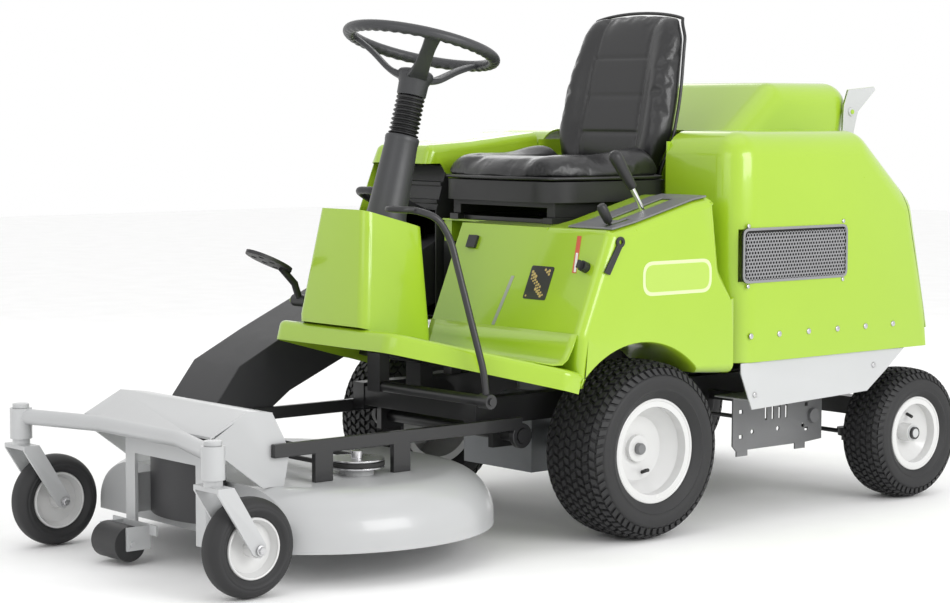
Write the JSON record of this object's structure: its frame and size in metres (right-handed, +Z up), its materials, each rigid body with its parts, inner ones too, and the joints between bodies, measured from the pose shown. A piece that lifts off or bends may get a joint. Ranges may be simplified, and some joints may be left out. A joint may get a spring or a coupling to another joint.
{
  "type": "riding lawn mower",
  "caption": "Ride-on mower with an out-front deck on caster wheels, side grass duct, rear hopper, seat, and rear-wheel steering.",
  "frame": {"origin": "bottom centre of the bounding box, on the ground", "axes": "+X to the machine's left, +Y to its rear, +Z up"},
  "size_m": [0.936, 2.2079, 1.19],
  "materials": {
    "body_green": "gloss",
    "light_grey": "satin",
    "deck_grey": "satin",
    "black_frame": "satin",
    "plate_grey": "satin",
    "rim_white": "gloss",
    "tyre_black": "matte",
    "duct_black": "matte",
    "black_plastic": "matte",
    "vinyl_black": "semi-gloss",
    "cast_metal": "cast",
    "bare_steel": "satin",
    "belt_rubber": "matte",
    "grille_mesh": "satin",
    "engine_black": "satin"
  },
  "bodies": {
    "chassis": {"chassis_frame": "black_frame", "side_plates": "plate_grey", "transaxle": "cast_metal", "engine": "engine_black", "battery": "black_plastic", "fuel_tank": "black_plastic", "duct_head": "duct_black", "duct_handle": "black_plastic", "platform": "body_green", "console": "body_green", "fender_left": "body_green", "fender_right": "body_green", "seat_box": "body_green", "control_plate": "plate_grey", "hood": "body_green", "side_grilles": "grille_mesh", "skirt_plates": "light_grey", "column_cover": "black_plastic", "column_boot": "black_plastic", "seat_base": "black_frame", "seat_light": "black_plastic"},
    "steering_wheel_body": {"steering_wheel": "black_plastic"},
    "rear_axle": {"rear_axle_beam": "black_frame"},
    "knuckle_left_body": {"knuckle_left": "black_frame"},
    "knuckle_right_body": {"knuckle_right": "black_frame"},
    "tie_rod_body": {"tie_rod": "black_frame"},
    "front_wheel_left": {"front_tyre_left": "tyre_black", "front_rim_left": "rim_white"},
    "front_wheel_right": {"front_tyre_right": "tyre_black", "front_rim_right": "rim_white"},
    "rear_wheel_left": {"rear_tyre_left": "tyre_black", "rear_rim_left": "rim_white"},
    "rear_wheel_right": {"rear_tyre_right": "tyre_black", "rear_rim_right": "rim_white"},
    "deck": {"deck_shell": "deck_grey", "deck_frame": "black_frame", "front_beam": "deck_grey", "front_arch": "light_grey", "front_cover": "duct_black", "drive_belt": "belt_rubber", "grass_duct": "duct_black"},
    "roller": {"scalp_roller": "black_plastic"},
    "caster_left": {"caster_fork_left": "deck_grey"},
    "caster_right": {"caster_fork_right": "deck_grey"},
    "caster_wheel_left": {"caster_tyre_left": "tyre_black", "caster_rim_left": "rim_white"},
    "caster_wheel_right": {"caster_tyre_right": "tyre_black", "caster_rim_right": "rim_white"},
    "blade_left_body": {"blade_left": "bare_steel"},
    "blade_right_body": {"blade_right": "bare_steel"},
    "rear_door_body": {"rear_door": "body_green"},
    "seat": {"seat_pan": "black_plastic", "seat_cushion": "vinyl_black", "seat_backrest": "vinyl_black"},
    "drive_pedal_body": {"drive_pedal": "black_plastic"},
    "lift_pedal_body": {"lift_pedal": "black_frame"},
    "lift_lever_body": {"lift_lever": "bare_steel"},
    "throttle_lever_body": {"throttle_lever": "black_plastic"},
    "blade_lever_body": {"blade_lever": "black_plastic"},
    "key": {"key_switch": "black_plastic"}
  },
  "joints": [
    {"name": "steering", "type": "hinge", "parent": "chassis", "child": "steering_wheel_body", "pos_m": [0, -0.367, 0.703], "axis": [0, 0.2588, 0.9659], "range_deg": [-240, 240]},
    {"name": "axle_tilt", "type": "hinge", "parent": "chassis", "child": "rear_axle", "pos_m": [0, 0.944, 0.212], "axis": [0, 1, 0], "range_deg": [-4, 4]},
    {"name": "steer_left", "type": "hinge", "parent": "rear_axle", "child": "knuckle_left_body", "pos_m": [0.305, 0.944, 0.16], "axis": [0, 0, 1], "range_deg": [-24, 24]},
    {"name": "steer_right", "type": "hinge", "parent": "rear_axle", "child": "knuckle_right_body", "pos_m": [-0.305, 0.944, 0.16], "axis": [0, 0, 1], "range_deg": [-24, 24]},
    {"name": "tie_rod_slide", "type": "slide", "parent": "rear_axle", "child": "tie_rod_body", "axis": [1, 0, 0], "range_m": [-0.038, 0.038]},
    {"name": "front_wheel_left_spin", "type": "hinge", "parent": "chassis", "child": "front_wheel_left", "pos_m": [0.372, 0.042, 0.2], "axis": [1, 0, 0], "continuous": true},
    {"name": "front_wheel_right_spin", "type": "hinge", "parent": "chassis", "child": "front_wheel_right", "pos_m": [-0.372, 0.042, 0.2], "axis": [1, 0, 0], "continuous": true},
    {"name": "rear_wheel_left_spin", "type": "hinge", "parent": "knuckle_left_body", "child": "rear_wheel_left", "pos_m": [0.398, 0.944, 0.16], "axis": [1, 0, 0], "continuous": true},
    {"name": "rear_wheel_right_spin", "type": "hinge", "parent": "knuckle_right_body", "child": "rear_wheel_right", "pos_m": [-0.398, 0.944, 0.16], "axis": [1, 0, 0], "continuous": true},
    {"name": "deck_lift", "type": "hinge", "parent": "chassis", "child": "deck", "pos_m": [0, -0.193, 0.236], "axis": [-1, 0, 0], "range_deg": [0, 5]},
    {"name": "roller_spin", "type": "hinge", "parent": "deck", "child": "roller", "pos_m": [-0.1, -1.004, 0.046], "axis": [1, 0, 0], "continuous": true},
    {"name": "caster_left_swivel", "type": "hinge", "parent": "deck", "child": "caster_left", "pos_m": [0.368, -1.08, 0.275], "axis": [0, 0, 1], "continuous": true},
    {"name": "caster_right_swivel", "type": "hinge", "parent": "deck", "child": "caster_right", "pos_m": [-0.368, -1.08, 0.275], "axis": [0, 0, 1], "continuous": true},
    {"name": "caster_wheel_left_spin", "type": "hinge", "parent": "caster_left", "child": "caster_wheel_left", "pos_m": [0.368, -1, 0.1], "axis": [1, 0, 0], "continuous": true},
    {"name": "caster_wheel_right_spin", "type": "hinge", "parent": "caster_right", "child": "caster_wheel_right", "pos_m": [-0.368, -1, 0.1], "axis": [1, 0, 0], "continuous": true},
    {"name": "blade_left_spin", "type": "hinge", "parent": "deck", "child": "blade_left_body", "pos_m": [0.228, -0.623, 0.15], "axis": [0, 0, 1], "continuous": true},
    {"name": "blade_right_spin", "type": "hinge", "parent": "deck", "child": "blade_right_body", "pos_m": [-0.228, -0.623, 0.15], "axis": [0, 0, 1], "continuous": true},
    {"name": "rear_door_swing", "type": "hinge", "parent": "chassis", "child": "rear_door_body", "pos_m": [0, 0.914, 0.949], "axis": [1, 0, 0], "range_deg": [0, 75]},
    {"name": "seat_slide", "type": "slide", "parent": "chassis", "child": "seat", "axis": [0, 1, 0], "range_m": [-0.09, 0.03]},
    {"name": "drive_pedal_swing", "type": "hinge", "parent": "chassis", "child": "drive_pedal_body", "pos_m": [-0.19, -0.458, 0.52], "axis": [1, 0, 0], "range_deg": [-8, 16], "stiffness_Nm_per_rad": 8},
    {"name": "lift_pedal_swing", "type": "hinge", "parent": "chassis", "child": "lift_pedal_body", "pos_m": [0.369, -0.386, 0.338], "axis": [1, 0, 0], "range_deg": [0, 20]},
    {"name": "lift_lever_swing", "type": "hinge", "parent": "chassis", "child": "lift_lever_body", "pos_m": [0.372, 0.112, 0.64], "axis": [-1, 0, 0], "range_deg": [0, 32]},
    {"name": "throttle_swing", "type": "hinge", "parent": "chassis", "child": "throttle_lever_body", "pos_m": [0.404, -0.032, 0.662], "axis": [-1, 0, 0], "range_deg": [0, 34]},
    {"name": "blade_lever_swing", "type": "hinge", "parent": "chassis", "child": "blade_lever_body", "pos_m": [0.455, -0.076, 0.668], "axis": [1, 0, 0], "range_deg": [0, 40]},
    {"name": "key_turn", "type": "hinge", "parent": "chassis", "child": "key", "pos_m": [0.405, -0.13115, 0.612], "axis": [0, -0.9238, 0.3828], "range_deg": [-70, 0]}
  ],
  "couplings": [
    {"joint": "steer_left", "follows": "steering", "ratio": -0.1},
    {"joint": "steer_right", "follows": "steering", "ratio": -0.1},
    {"joint": "tie_rod_slide", "follows": "steering", "m_per_rad": -0.009},
    {"joint": "blade_right_spin", "follows": "blade_left_spin", "ratio": 1},
    {"joint": "lift_pedal_swing", "follows": "deck_lift", "ratio": 4}
  ]
}
